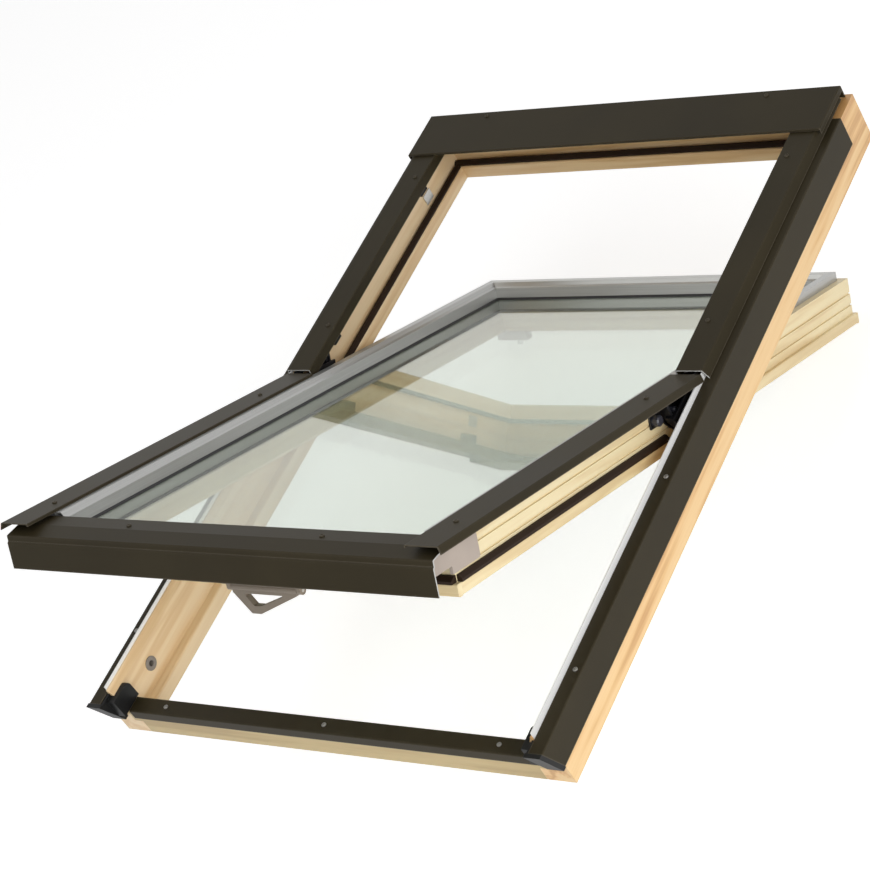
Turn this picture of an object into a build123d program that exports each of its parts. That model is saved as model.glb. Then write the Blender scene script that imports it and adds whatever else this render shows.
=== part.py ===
from build123d import *
import math
import os

os.makedirs("parts", exist_ok=True)

# Roof window with a centre-pivot sash, lying in its own plane.
# X runs across, Y up the roof slope, Z out of the roof.
# The origin is the middle of the sill's room-side face.

# Wooden frame
frame_width = 780.0
frame_length = 1180.0
frame_depth = 90.0
sheet = 1.5
jamb_wall = 30.0
jamb_lip = 15.0
lip_height = 25.0
rib_start = 22.0
rib_width = 2.0
rib_height = 8.0
jamb_bevel = 11.0
edge_round = 2.5
sill_thick = 24.0
sill_top_drop = 40.0
head_wall = 25.0
head_depth = 42.0
head_bevel = 4.0

# Frame claddings
clad_side_drop = 52.0
clad_front_leg = 20.0
clad_overhang = 21.0
clad_tail = 1.0
clad_top_short = 56.0
bend = 2.0
rail_top = 10.5
rail_foot = 12.0
rail_end_short = 2.0
rail_top_short = 60.0
sill_clad_drop = 17.0
sill_clad_play = 6.0

# Upper covers and hood
cover_foot_s = 11.8
cover_bevel_s = 19.0
cover_inner_s = 62.0
cover_front = 15.0
cover_inner_drop = 18.0
cover_low_y = 17.0
cover_top_short = 15.0
hood_end_s = 10.0
hood_low_short = 99.0
hood_top_short = 5.0
hood_front = 20.0
hood_side_drop = 10.0
hood_lip_drop = 4.0
clip_length = 20.0
clip_plate = 14.0
clip_reach = 29.0
clip_leg = 18.0
clip_leg_drop = 20.0
cover_clip_ring_gap = 7.6
cover_clip_high_short = 148.0

# Corner caps
cap_inner_s = 24.0
cap_flange = 7.0
cap_drop = 54.0
cap_top = 1.0
cap_tongue = 8.0
cap_tongue_round = 9.0
cap_tongue_reach = 28.0
cap_tongue_tail = 12.0
cap_tongue_top = 6.0
cap_sill_gap = 2.0

# Frame gaskets
seal_width = 14.0
seal_height = 6.0
seal_low = 3.0
seal_ridge = 9.0
seal_set_in = 5.0
seal_ring_gap = 13.6

# Sash, given in the closed position
pivot_y = 13.2
pivot_z = 17.0
open_angle = 29.0
sash_side_gap = 3.0
sash_low_gap = 6.5
sash_top_gap = 16.5
sash_lip_step = 6.0
sash_lip_low = 8.5
sash_lip_high = 5.0
sash_back_set = 12.0
sash_lip_height = 17.0
sash_face = 5.0
stile_width = 46.0
rail_width = 45.0
rebate_wall = 20.0
rebate_bed = 2.0
back_bevel = 6.0
groove_width = 3.0
groove_depth = 2.5
groove_first_rise = 48.0
groove_second_rise = 30.0

# Glazing
glass_face = 18.0
pane = 4.0
glass_bed = 19.0
glass_play = 3.0
glass_low_short = 34.0
spacer_inset = 2.0
spacer_width = 12.0
tape_width = 17.0
trim_outer_step = 12.0
trim_top = 9.0
trim_flat = 13.0
trim_step_run = 4.0
trim_step_drop = 6.0
trim_ledge = 4.0
trim_ledge_drop = 2.0
trim_run_in = 2.0
trim_wall = 2.0
trim_low_short = 29.5
touch_gap = 0.1

# Sash claddings and bottom cover
sash_clad_foot_s = 15.5
sash_clad_foot_z = 2.8
sash_clad_bevel_s = 19.5
sash_clad_front = 13.0
sash_clad_inner_s = 70.0
sash_clad_low_past = 26.5
sash_clad_high_y = 14.5
sash_clip_reach = 20.0
sash_clip_seat = 9.0
sash_clip_ring_gap = 9.5
sash_clip_low_short = 52.0
bottom_end_s = 28.0
bottom_in_short = 28.5
bottom_in_z = 4.5
bottom_in_fold = 5.5
bottom_mid_past = 2.5
bottom_mid_z = 3.0
bottom_fold_past = 29.5
bottom_fold_z = 4.0
bottom_step_z = 12.0
bottom_step = 2.0
bottom_edge_z = 51.5
beam_margin = 1.0
beam_gap = 0.1
beam_step_short = 30.0
beam_tail_short = 70.0
beam_floor_rise = 6.0
beam_flange = 22.0
beam_wall = 2.0
end_piece = 5.0
end_out_past = 7.5
end_in_short = 88.5
end_top_z = 11.0
end_low_past = 5.0
end_step_short = 30.0
end_round = 4.0
sash_seal_reach = 8.0
sash_seal_height = 9.0
sash_seal_nose = 4.0
sash_seal_low_short = 40.5
sash_seal_high_y = 48.0
bottom_seal_reach = 10.5

# Arc hinge: half-ring tongue in a half-ring channel
hinge_seat_gap = 0.8
tongue_thick = 4.0
channel_play = 0.2
channel_rib = 3.5
hinge_plate = 3.0
disc_sides = 40
tongue_end_gap = 2.0
rib_clear = 6.0
ring_top = 10.5
ring_margin = 1.5
ring_window_share = 0.62
ring_bar = 14.0
hinge_lip_gap = 0.5
knob_big = 16.0
knob_small = 12.0
knob_length = 11.0
knob_first_out = 19.4
knob_first_angle = 26.4
knob_second_in = 15.9
knob_second_angle = 45.6
knob_round = 2.0
knob_sides = 12
knob_tab = 20.0

# Cleaning bolt, bush and keeper
bolt_short = 63.0
bolt_drop = 17.0
bolt_rod = 8.0
bolt_length = 62.0
bolt_tip_s = 52.0
bolt_travel = 26.0
bolt_play = 0.1
bolt_knob = 9.0
bolt_knob_height = 10.0
bolt_knob_inset = 40.0
guide_width = 16.0
guide_length = 60.0
guide_inset = 4.0
guide_back = 8.0
guide_slot_play = 3.0
bush_flange = 22.0
bush_flange_thick = 1.5
bush_flange_sides = 24
bush_drop = 35.24
bush_barrel = 15.0
bush_depth = 16.0
bush_bore_play = 1.2
keeper_short = 130.0
keeper_rise = 19.0
keeper_length = 22.0
keeper_height = 18.0
keeper_thick = 2.0

# Handle, latch and strike
handle_short = 45.0
handle_left = 38.0
handle_right = 72.0
handle_base_width = 26.0
handle_base_thick = 4.0
handle_axis_drop = 7.5
handle_barrel = 12.0
handle_lug = 7.0
handle_lug_gap = 1.0
handle_pin_size = 5.0
handle_pin_play = 0.05
handle_thick = 10.0
handle_reach = 36.0
handle_tip_left = 12.0
handle_tip_right = 4.0
handle_end_reach = 7.0
slot_left = 20.0
slot_right = 46.0
slot_top = 8.0
slot_reach = 25.0
slot_tip_left = 6.0
slot_tip_right = 6.0
slot_end_reach = 10.0
latch_width = 20.0
latch_height = 9.0
latch_length = 24.0
latch_travel = 12.0
latch_rise = 8.0
latch_play = 0.5
latch_inset = 1.0
latch_pocket_spare = 2.0
strike_width = 60.0
strike_height = 24.0
strike_thick = 1.5
strike_pocket = 14.0
strike_mouth_play = 2.0

# Screws
screw_head = 7.0
screw_head_height = 2.0
screw_shank = 4.0
screw_play = 0.2
screw_length = 14.0
screw_sides = 12
shank_sides = 8
screw_cross = 1.2
screw_cross_share = 0.7
screw_cross_depth = 1.0
hood_screw_s = 130.0
hood_screw_short = 16.0
cover_screw_s = 47.5
side_screw_s = 8.0
side_screw_low_short = 110.0
side_screw_high_y = 160.0
sill_screw_s = 100.0
sash_screw_s = 47.0
bottom_screw_s = 225.0
bottom_screw_short = 8.0

# Places that follow from the sizes
half_w = frame_width / 2
half_l = frame_length / 2
sash_back = frame_depth - sash_back_set
wall_x = half_w - jamb_wall
lip_x = wall_x - jamb_lip
back_z = -frame_depth
seat_z = back_z + lip_height
wood_z = -sheet * 2
sill_in_y = -half_l + sill_thick
sill_top_z = -sill_top_drop - sheet
head_wall_y = half_l - head_wall
head_lip_y = half_l - head_depth
sash_lip_x = lip_x - sash_side_gap
sash_x = sash_lip_x - sash_lip_step
stile_in_x = sash_x - stile_width
rebate_x = sash_x - rebate_wall
sash_low_y = sill_in_y + sash_low_gap
sash_high_y = head_lip_y - sash_top_gap
body_low_y = sash_low_y + sash_lip_low
body_high_y = sash_high_y - sash_lip_high
top_in_y = body_high_y - rail_width
low_in_y = body_low_y + rail_width
rebate_top_y = body_high_y - rebate_wall
lip_top_z = -sash_back + sash_lip_height
glass_x = rebate_x - glass_play
glass_top_y = rebate_top_y - glass_play
glass_back_z = lip_top_z + glass_bed
rebate_drop = -glass_back_z + rebate_bed
groove_first = sash_back - groove_first_rise
groove_second = sash_back - groove_second_rise
beam_floor_z = -glass_back_z - beam_floor_rise
end_low_z = -glass_back_z + end_low_past
cover_screw_x = half_w - cover_screw_s
tongue_room = pivot_z - seat_z - hinge_seat_gap - ring_margin
tongue_radius = tongue_room - channel_rib - channel_play - tongue_thick / 2
ring_reach = tongue_radius + tongue_thick / 2 + channel_play + channel_rib
cover_clip_low_y = pivot_y + ring_reach + ring_margin + clip_length / 2 + cover_clip_ring_gap
seal_start_y = pivot_y + ring_reach + ring_margin + seal_ring_gap
sash_clip_high_y = -pivot_y + ring_reach + clip_length / 2 + sash_clip_ring_gap
latch_z = sash_back - latch_rise
bolt_z = sash_back + bolt_drop
keeper_z = -seat_z - keeper_rise
glass_low_y = half_l - glass_low_short
trim_low_y = half_l - trim_low_short
sash_clad_low_y = half_l + sash_clad_low_past
sash_clip_low_y = half_l - sash_clip_low_short
bottom_in_y = half_l - bottom_in_short
bottom_mid_y = half_l + bottom_mid_past
bottom_fold_y = half_l + bottom_fold_past
beam_step_y = half_l - beam_step_short
beam_tail_y = half_l - beam_tail_short
end_out_y = half_l + end_out_past
end_in_y = half_l - end_in_short
end_step_y = half_l - end_step_short
sash_seal_low_y = half_l - sash_seal_low_short
bolt_y = half_l - bolt_short
keeper_y = half_l - keeper_short
handle_y = half_l - handle_short
side_screw_low_y = half_l - side_screw_low_short
bottom_screw_y = half_l - bottom_screw_short
cover_clip_high_y = half_l - cover_clip_high_short
bolt_tip_x = half_w - bolt_tip_s
sash_clad_foot_x = half_w - sash_clad_foot_s
sash_clad_bevel_x = half_w - sash_clad_bevel_s
sash_clad_inner_x = half_w - sash_clad_inner_s
hood_half = half_w - hood_end_s
bottom_half = half_w - bottom_end_s
hood_screw_x = half_w - hood_screw_s
sill_screw_x = half_w - sill_screw_s
sash_screw_x = half_w - sash_screw_s
bottom_screw_x = half_w - bottom_screw_s


def block(x0, x1, y0, y1, z0, z1):
    return Pos((x0 + x1) / 2, (y0 + y1) / 2, (z0 + z1) / 2) * Box(x1 - x0, y1 - y0, z1 - z0)


def outline(points):
    # closed face through (u, v) or (u, v, radius) corners
    edges = []
    enters = []
    leaves = []
    count = len(points)
    for i, point in enumerate(points):
        here = Vector(point[0], point[1])
        radius = point[2] if len(point) > 2 else 0
        if radius > 0:
            before = points[i - 1]
            after = points[(i + 1) % count]
            u = (Vector(before[0], before[1]) - here).normalized()
            w = (Vector(after[0], after[1]) - here).normalized()
            half = math.acos(max(-1, min(1, u.dot(w)))) / 2
            run = radius / math.tan(half)
            enter = here + u * run
            leave = here + w * run
            middle = here + (u + w).normalized() * (radius / math.sin(half) - radius)
            edges.append(ThreePointArc(enter, middle, leave))
        else:
            enter = here
            leave = here
        enters.append(enter)
        leaves.append(leave)
    for i in range(count):
        edges.append(Line(leaves[i], enters[(i + 1) % count]))
    return make_face(edges)


def along_y(points, y0, y1):
    plane = Plane((0, y0, 0), x_dir=(1, 0, 0), z_dir=(0, -1, 0))
    return extrude(plane * outline(points), amount=y1 - y0, dir=(0, 1, 0))


def along_x(points, x0, x1):
    plane = Plane((x0, 0, 0), x_dir=(0, 1, 0), z_dir=(1, 0, 0))
    return extrude(plane * outline(points), amount=x1 - x0, dir=(1, 0, 0))


def bent(path, thick, radius=0):
    # corners of a folded sheet whose skin follows the path, thick to its right or, if negative, left
    normals = []
    for a, b in zip(path[:-1], path[1:]):
        run = math.hypot(b[0] - a[0], b[1] - a[1])
        normals.append(((b[1] - a[1]) / run, -(b[0] - a[0]) / run))
    inner = []
    for i, point in enumerate(path):
        first = normals[max(i - 1, 0)]
        second = normals[min(i, len(normals) - 1)]
        scale = thick / (1 + first[0] * second[0] + first[1] * second[1])
        inner.append((point[0] + (first[0] + second[0]) * scale, point[1] + (first[1] + second[1]) * scale))
    outer_points = []
    inner_points = []
    last = len(path) - 1
    for i, point in enumerate(path):
        turn = 0
        if 0 < i < last:
            first = normals[i - 1]
            second = normals[i]
            turn = first[0] * second[1] - first[1] * second[0]
        outward = turn * thick < 0
        outer_r = radius if outward else 0
        inner_r = radius if turn * thick > 0 else 0
        outer_points.append((point[0], point[1], outer_r))
        inner_points.append((inner[i][0], inner[i][1], inner_r))
    return outer_points + inner_points[::-1]


def rod_x(y, z, size, x0, x1, sides=0):
    plane = Plane((x0, y, z), x_dir=(0, 1, 0), z_dir=(1, 0, 0))
    shape = RegularPolygon(size / 2, sides) if sides else Circle(size / 2)
    return extrude(plane * shape, amount=x1 - x0, dir=(1, 0, 0))


def rod_z(x, y, size, z0, z1):
    return extrude(Plane((x, y, z0)) * Circle(size / 2), amount=z1 - z0, dir=(0, 0, 1))


def half_ring(inner_r, outer_r, x0, x1):
    # ring about the pivot line, kept below the claddings
    turn = math.degrees(math.asin((pivot_z - ring_top) / inner_r))
    sweep = 180 - turn * 2
    outer = CenterArc((0, 0), outer_r, 180 + turn, sweep)
    inner = CenterArc((0, 0), inner_r, 180 + turn, sweep)
    edges = [outer, inner, Line(outer @ 0, inner @ 0), Line(outer @ 1, inner @ 1)]
    plane = Plane((x0, pivot_y, pivot_z), x_dir=(0, 1, 0), z_dir=(1, 0, 0))
    return extrude(plane * make_face(edges), amount=x1 - x0, dir=(1, 0, 0))


def prism(size, sides, z0, z1):
    return extrude(Plane((0, 0, z0)) * RegularPolygon(size / 2, sides), amount=z1 - z0, dir=(0, 0, 1))


def screw(x, y, z, tilt=0):
    # pan-head screw standing on height z, turned about the crosswise line through its seat
    head = prism(screw_head, screw_sides, 0, screw_head_height)
    head = chamfer(head.edges().group_by(Axis.Z)[-1], screw_head_height / 4)
    reach = screw_head * screw_cross_share
    cut = Pos(0, 0, screw_head_height - screw_cross_depth / 2)
    head -= cut * Box(reach, screw_cross, screw_cross_depth)
    head -= cut * Box(screw_cross, reach, screw_cross_depth)
    shank = prism(screw_shank, shank_sides, -screw_length, 0)
    return Pos(x, y, z) * Rot(tilt, 0, 0) * (head + shank)


def screw_hole(x, y, z, tilt=0):
    depth = screw_length + screw_play * 2
    size = (screw_shank + screw_play * 2) / math.cos(math.pi / shank_sides)
    return Pos(x, y, z) * Rot(tilt, 0, 0) * prism(size, shank_sides, -depth, depth)


def flipped(solid):
    return mirror(solid, about=Plane.YZ)


frame_nodes = {}
sash_nodes = {}


def pair(store, name, right):
    store["right_" + name] = right
    store["left_" + name] = flipped(right)


# Jambs, head and sill
def jamb():
    outer = half_w
    rib_x = outer - rib_start
    points = [
        (outer, back_z),
        (outer, wood_z),
        (rib_x, wood_z),
        (rib_x, wood_z + rib_height),
        (rib_x - rib_width, wood_z + rib_height),
        (wall_x, wood_z + rib_height - jamb_bevel),
        (wall_x, seat_z),
        (lip_x, seat_z, edge_round),
        (lip_x, back_z, edge_round),
    ]
    wood = along_y(points, -half_l, half_l)
    wood -= block(wall_x - sheet, rib_x, half_l - clad_top_short, half_l + sheet, wood_z, rib_height)
    for y in (-side_screw_low_y, -side_screw_high_y):
        wood -= screw_hole(half_w - side_screw_s, y, 0)
    return wood


def head():
    wall = [
        (half_l, seat_z),
        (half_l, wood_z),
        (head_wall_y + head_bevel, wood_z),
        (head_wall_y, wood_z - head_bevel),
        (head_wall_y, seat_z),
    ]
    lip = [
        (half_l, back_z),
        (half_l, seat_z),
        (head_lip_y, seat_z, edge_round),
        (head_lip_y, back_z, edge_round),
    ]
    return along_x(wall, -wall_x, wall_x) + along_x(lip, -lip_x, lip_x)


def sill():
    low = [(-half_l, back_z), (sill_in_y, back_z, edge_round), (sill_in_y, seat_z), (-half_l, seat_z)]
    wood = along_x(low, -lip_x, lip_x)
    wood += block(-wall_x, wall_x, -half_l, sill_in_y, seat_z, sill_top_z)
    mouth = latch_width / 2 + strike_mouth_play
    high = latch_height / 2 + strike_mouth_play
    wood -= block(-mouth, mouth, sill_in_y - strike_pocket, sill_in_y, -latch_z - high, -latch_z + high)
    for x in (-sill_screw_x, 0, sill_screw_x):
        wood -= screw_hole(x, (sill_in_y - half_l) / 2, -sill_top_drop)
    return wood


right_jamb = jamb()
left_jamb = flipped(right_jamb)


# The bush lies where the cleaning bolt comes to once the sash is turned right over
bolt_arm_y = bolt_y - pivot_y
bolt_arm_z = -bolt_z - pivot_z
bolt_arm = math.hypot(bolt_arm_y, bolt_arm_z)
full_turn = math.atan2(bolt_arm_z, bolt_arm_y) + math.pi - math.asin((bush_drop + pivot_z) / bolt_arm)
full_cos = math.cos(full_turn)
full_sin = math.sin(full_turn)
bush_y = pivot_y + full_cos * bolt_arm_y + full_sin * bolt_arm_z
bush_z = pivot_z + full_cos * bolt_arm_z - full_sin * bolt_arm_y
bush_in = -wall_x - bush_depth
left_jamb -= rod_x(bush_y, bush_z, bush_barrel, bush_in, -wall_x)
bush = rod_x(bush_y, bush_z, bush_barrel, bush_in, -wall_x)
bush += rod_x(bush_y, bush_z, bush_flange, -wall_x, -wall_x + bush_flange_thick, bush_flange_sides)
bush -= rod_x(
    bush_y,
    bush_z,
    bolt_rod + bush_bore_play,
    bush_in + bush_flange_thick,
    -wall_x + bush_flange_thick,
)

frame_nodes["right_jamb"] = right_jamb
frame_nodes["left_jamb"] = left_jamb
frame_nodes["head"] = head()
frame_nodes["sill"] = sill()
frame_nodes["cleaning_bush"] = bush
keeper_low = keeper_y - keeper_length / 2
keeper_base = -keeper_z - keeper_height / 2
frame_nodes["keeper_plate"] = block(
    -wall_x,
    -wall_x + keeper_thick,
    keeper_low,
    keeper_low + keeper_length,
    keeper_base,
    keeper_base + keeper_height,
)


# Frame claddings
def side_cladding():
    skin = half_w + sheet
    path = [(skin, -clad_side_drop), (skin, 0), (half_w - clad_front_leg, 0)]
    shell = along_y(bent(path, -sheet, bend), -half_l - clad_overhang, half_l - clad_top_short)
    front_y = -half_l - clad_overhang
    tail_y = -half_l - clad_tail
    slant = [
        (front_y - clad_overhang, sheet),
        (front_y, 0),
        (tail_y, -clad_side_drop),
        (front_y - clad_overhang, -clad_side_drop),
    ]
    shell -= along_x(slant, half_w - clad_front_leg * 2, half_w + clad_front_leg)
    for y in (-side_screw_low_y, -side_screw_high_y):
        shell -= screw_hole(half_w - side_screw_s, y, 0)
    return shell


def drain_rail():
    inner = half_w - rib_start
    outer = inner + sheet
    points = [
        (inner, wood_z),
        (inner, rail_top),
        (outer, rail_top),
        (outer, wood_z + sheet),
        (outer + rail_foot, wood_z + sheet),
        (outer + rail_foot, wood_z),
    ]
    rail = along_y(points, -half_l + rail_end_short, half_l - rail_top_short)
    for y in (-side_screw_low_y, -side_screw_high_y):
        rail -= screw_hole(half_w - side_screw_s, y, 0)
    return rail


def upper_cover():
    rise = cover_front
    run = cover_bevel_s - cover_foot_s
    lift = sheet * run / math.hypot(run, rise) + touch_gap
    path = [
        (half_w - cover_foot_s, lift),
        (half_w - cover_bevel_s, cover_front),
        (half_w - cover_inner_s, cover_front),
        (half_w - cover_inner_s, cover_front - cover_inner_drop),
    ]
    shell = along_y(bent(path, -sheet, bend), cover_low_y, half_l - cover_top_short)
    for y in (cover_clip_low_y, cover_clip_high_y):
        shell -= screw_hole(cover_screw_x, y, cover_front)
    return shell


def cover_clips():
    # plastic brackets on the jamb wall that carry the upper cover
    top = cover_front - sheet
    out = []
    for y in (cover_clip_low_y, cover_clip_high_y):
        points = [
            (wall_x, top),
            (wall_x - clip_reach, top),
            (wall_x - clip_reach, top - clip_plate),
            (wall_x - clip_leg, top - clip_plate),
            (wall_x - clip_leg, -clip_leg_drop),
            (wall_x, -clip_leg_drop),
        ]
        clip = along_y(points, y - clip_length / 2, y + clip_length / 2)
        out.append(clip - screw_hole(cover_screw_x, y, cover_front))
    return out


def hood():
    low = half_l - hood_low_short
    high = half_l - hood_top_short
    shell = block(-hood_half, hood_half, low, high, wood_z, hood_front)
    shell = fillet(shell.edges().group_by(Axis.Z)[-1], bend)
    inside = block(
        -hood_half + sheet,
        hood_half - sheet,
        low + sheet,
        high - sheet,
        wood_z,
        hood_front - sheet,
    )
    shell -= inside
    shell -= block(-half_w, half_w, low - sheet, high - sheet, wood_z - sheet, hood_front - hood_side_drop)
    shell -= block(
        -hood_half + sheet,
        hood_half - sheet,
        low - sheet,
        low + sheet,
        wood_z - sheet,
        hood_front - hood_lip_drop,
    )
    for x in (-hood_screw_x, hood_screw_x):
        shell -= screw_hole(x, half_l - hood_screw_short, hood_front)
    return shell


def sill_cladding():
    skin = -half_l - sheet
    path = [(sill_in_y, -sill_top_drop), (skin, -sill_top_drop), (skin, -sill_top_drop - sill_clad_drop)]
    reach = wall_x - sill_clad_play
    shell = along_x(bent(path, -sheet, bend), -reach, reach)
    for x in (-sill_screw_x, 0, sill_screw_x):
        shell -= screw_hole(x, (sill_in_y - half_l) / 2, -sill_top_drop)
    return shell


def corner_cap():
    front_y = -half_l - clad_overhang
    tail_y = -half_l - clad_tail
    slope = (tail_y - front_y) / clad_side_drop
    under = -sheet
    low_y = tail_y + (cap_drop - clad_side_drop) * slope
    core = [
        (-half_l, under),
        (front_y - under * slope, under),
        (tail_y, -clad_side_drop),
        (-half_l, -clad_side_drop),
    ]
    cap = along_x(core, half_w - cap_inner_s, half_w)
    flange = [
        (front_y, 0),
        (front_y, cap_top),
        (front_y - cap_flange, cap_top),
        (low_y - cap_flange, -cap_drop),
        (low_y, -cap_drop),
    ]
    cap += along_x(flange, half_w - cap_inner_s, half_w + sheet)
    low_z = -sill_top_drop + cap_sill_gap
    tongue_x = wall_x - cap_tongue
    tongue = [
        (-half_l - cap_tongue_tail, low_z),
        (-half_l - cap_tongue_tail, -cap_tongue_top),
        (-half_l + cap_tongue_reach, -cap_tongue_top, cap_tongue_round),
        (-half_l + cap_tongue_reach, low_z),
    ]
    cap += along_x(tongue, tongue_x, wall_x)
    cap += block(wall_x, half_w - cap_inner_s, -half_l - cap_tongue_tail, -half_l, low_z, -cap_tongue_top)
    return cap


def frame_seal():
    points = [
        (wall_x - seal_set_in, seat_z),
        (wall_x - seal_set_in, seat_z + seal_height),
        (wall_x - seal_ridge, seat_z + seal_height),
        (wall_x - seal_width, seat_z + seal_low),
        (wall_x - seal_width, seat_z),
    ]
    return along_y(points, seal_start_y, head_lip_y)


def head_seal():
    points = [
        (head_wall_y - seal_set_in, seat_z),
        (head_wall_y - seal_set_in, seat_z + seal_height),
        (head_wall_y - seal_ridge, seat_z + seal_height),
        (head_wall_y - seal_width, seat_z + seal_low),
        (head_wall_y - seal_width, seat_z),
    ]
    return along_x(points, -wall_x, wall_x)


pair(frame_nodes, "side_cladding", side_cladding())
pair(frame_nodes, "drain_rail", drain_rail())
pair(frame_nodes, "upper_cover", upper_cover())
clips = cover_clips()
frame_nodes["cover_clips"] = clips + [flipped(clip) for clip in clips]
frame_nodes["hood"] = hood()
frame_nodes["sill_cladding"] = sill_cladding()
pair(frame_nodes, "corner_cap", corner_cap())
pair(frame_nodes, "frame_gasket", frame_seal())
frame_nodes["head_gasket"] = head_seal()

strike_low = -latch_z - strike_height / 2
strike = block(
    -strike_width / 2,
    strike_width / 2,
    sill_in_y,
    sill_in_y + strike_thick,
    strike_low,
    strike_low + strike_height,
)
mouth_half = latch_width / 2 + strike_mouth_play
mouth_high = latch_height / 2 + strike_mouth_play
strike -= block(
    -mouth_half, mouth_half, sill_in_y, sill_in_y + strike_thick, -latch_z - mouth_high, -latch_z + mouth_high
)
frame_nodes["strike_plate"] = strike


# Hinge halves
channel_in = tongue_radius - tongue_thick / 2 - channel_play
channel_out = tongue_radius + tongue_thick / 2 + channel_play
ring_in = channel_in - channel_rib
ring_out = channel_out + channel_rib
knob_first_arm = tongue_radius + knob_first_out
knob_first_turn = math.radians(knob_first_angle)
knob_first_y = knob_first_arm * math.cos(knob_first_turn) - pivot_y
knob_z = knob_first_arm * math.sin(knob_first_turn) - pivot_z
knob_second_arm = tongue_radius - knob_second_in
knob_second_turn = math.radians(knob_second_angle)
knob_second_y = knob_second_arm * math.cos(knob_second_turn) - pivot_y
knob_second_z = knob_second_arm * math.sin(knob_second_turn) - pivot_z
tongue_base_x = sash_x + hinge_plate
tongue_tip_x = wall_x - hinge_plate - tongue_end_gap
channel_x = tongue_base_x + rib_clear


def half_disc(radius, top, x0, x1):
    plane = Plane((x0, pivot_y, pivot_z), x_dir=(0, 1, 0), z_dir=(1, 0, 0))
    disc = extrude(plane * RegularPolygon(radius, disc_sides), amount=x1 - x0, dir=(1, 0, 0))
    return disc - block(
        x0 - sheet, x1 + sheet, pivot_y - radius * 2, pivot_y + radius * 2, top, pivot_z + radius * 2
    )


def hinge_frame_half():
    plate = half_disc(ring_out + ring_margin, ring_top, wall_x - hinge_plate, wall_x)
    plate -= half_disc(ring_out * ring_window_share, ring_top - ring_bar, wall_x - hinge_plate, wall_x)
    inner_rib = half_ring(ring_in, channel_in, channel_x, wall_x - hinge_plate)
    outer_rib = half_ring(channel_out, ring_out, channel_x, wall_x - hinge_plate)
    return plate + inner_rib + outer_rib


def hinge_sash_half():
    plate = half_disc(ring_out, ring_top, sash_x, tongue_base_x)
    plate -= half_disc(ring_out * ring_window_share, -knob_z - knob_tab, sash_x, tongue_base_x)
    low = lip_top_z + hinge_lip_gap
    far = pivot_z - ring_out * 2
    plate -= block(sash_x, tongue_base_x, pivot_y - ring_out, pivot_y + ring_out, far, low)
    tab_end = -knob_first_y - knob_tab / 2
    plate += block(sash_x, tongue_base_x, tab_end, pivot_y, -knob_z - knob_tab / 2, -knob_z + knob_tab / 2)
    tongue = half_ring(
        tongue_radius - tongue_thick / 2, tongue_radius + tongue_thick / 2, tongue_base_x, tongue_tip_x
    )
    return plate + tongue


def hinge_knob(y, z, size):
    knob = rod_x(y, z, size, tongue_base_x, tongue_base_x + knob_length, knob_sides)
    return chamfer(knob.edges().group_by(Axis.X)[-1], knob_round)


pair(frame_nodes, "hinge_frame_half", hinge_frame_half())
pair(sash_nodes, "hinge_sash_half", hinge_sash_half())
knobs = [hinge_knob(-knob_first_y, -knob_z, knob_big), hinge_knob(-knob_second_y, -knob_second_z, knob_small)]
sash_nodes["hinge_knobs"] = knobs + [flipped(knob) for knob in knobs]


# Sash timber
def stile():
    first = -groove_first
    second = -groove_second
    floor = sash_x - groove_depth
    points = [
        (sash_x, -sash_face),
        (sash_x, first + groove_width),
        (floor, first + groove_width),
        (floor, first),
        (sash_x, first),
        (sash_x, second + groove_width),
        (floor, second + groove_width),
        (floor, second),
        (sash_x, second),
        (sash_x, lip_top_z),
        (sash_lip_x, lip_top_z, edge_round),
        (sash_lip_x, -sash_back, edge_round),
        (stile_in_x + back_bevel, -sash_back),
        (stile_in_x, -sash_back + back_bevel),
        (stile_in_x, -rebate_drop),
        (rebate_x, -rebate_drop),
        (rebate_x, -sash_face),
    ]
    return along_y(points, body_low_y, body_high_y)


def top_rail():
    inner = [
        (top_in_y, -rebate_drop),
        (top_in_y, -sash_back + back_bevel),
        (top_in_y + back_bevel, -sash_back),
        (body_high_y, -sash_back),
        (body_high_y, -rebate_drop),
    ]
    wood = along_x(inner, -stile_in_x, stile_in_x)
    wood += block(-rebate_x, rebate_x, rebate_top_y, body_high_y, -rebate_drop, -sash_face)
    lip = [
        (body_high_y, -sash_back),
        (sash_high_y, -sash_back, edge_round),
        (sash_high_y, lip_top_z, edge_round),
        (body_high_y, lip_top_z),
    ]
    return wood + along_x(lip, -sash_lip_x, sash_lip_x)


def bottom_rail():
    points = [
        (low_in_y, -rebate_drop),
        (body_low_y, -rebate_drop),
        (body_low_y, lip_top_z),
        (body_low_y, -sash_back),
        (low_in_y - back_bevel, -sash_back),
        (low_in_y, -sash_back + back_bevel),
    ]
    wood = along_x(points, -stile_in_x, stile_in_x)
    lip = [
        (body_low_y, -sash_back),
        (body_low_y, lip_top_z),
        (sash_low_y, lip_top_z, edge_round),
        (sash_low_y, -sash_back, edge_round),
    ]
    wood += along_x(lip, -sash_lip_x, sash_lip_x)
    half = latch_width / 2 + latch_play
    high = latch_height / 2 + latch_play
    deep = sash_low_y + latch_inset + latch_length + latch_pocket_spare
    wood -= block(-half, half, sash_low_y - latch_play, deep, -latch_z - high, -latch_z + high)
    return wood


pair(sash_nodes, "stile", stile())
sash_nodes["top_rail"] = top_rail()
sash_nodes["bottom_rail"] = bottom_rail()

latch_tip = sash_low_y + latch_inset
latch_half = latch_width / 2
latch_bolt = block(
    -latch_half,
    latch_half,
    latch_tip,
    latch_tip + latch_length,
    -latch_z - latch_height / 2,
    -latch_z + latch_height / 2,
)
latch_bolt = fillet(latch_bolt.edges().filter_by(Axis.X).group_by(Axis.Y)[0], latch_height / 4)
sash_nodes["latch_bolt"] = latch_bolt


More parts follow.
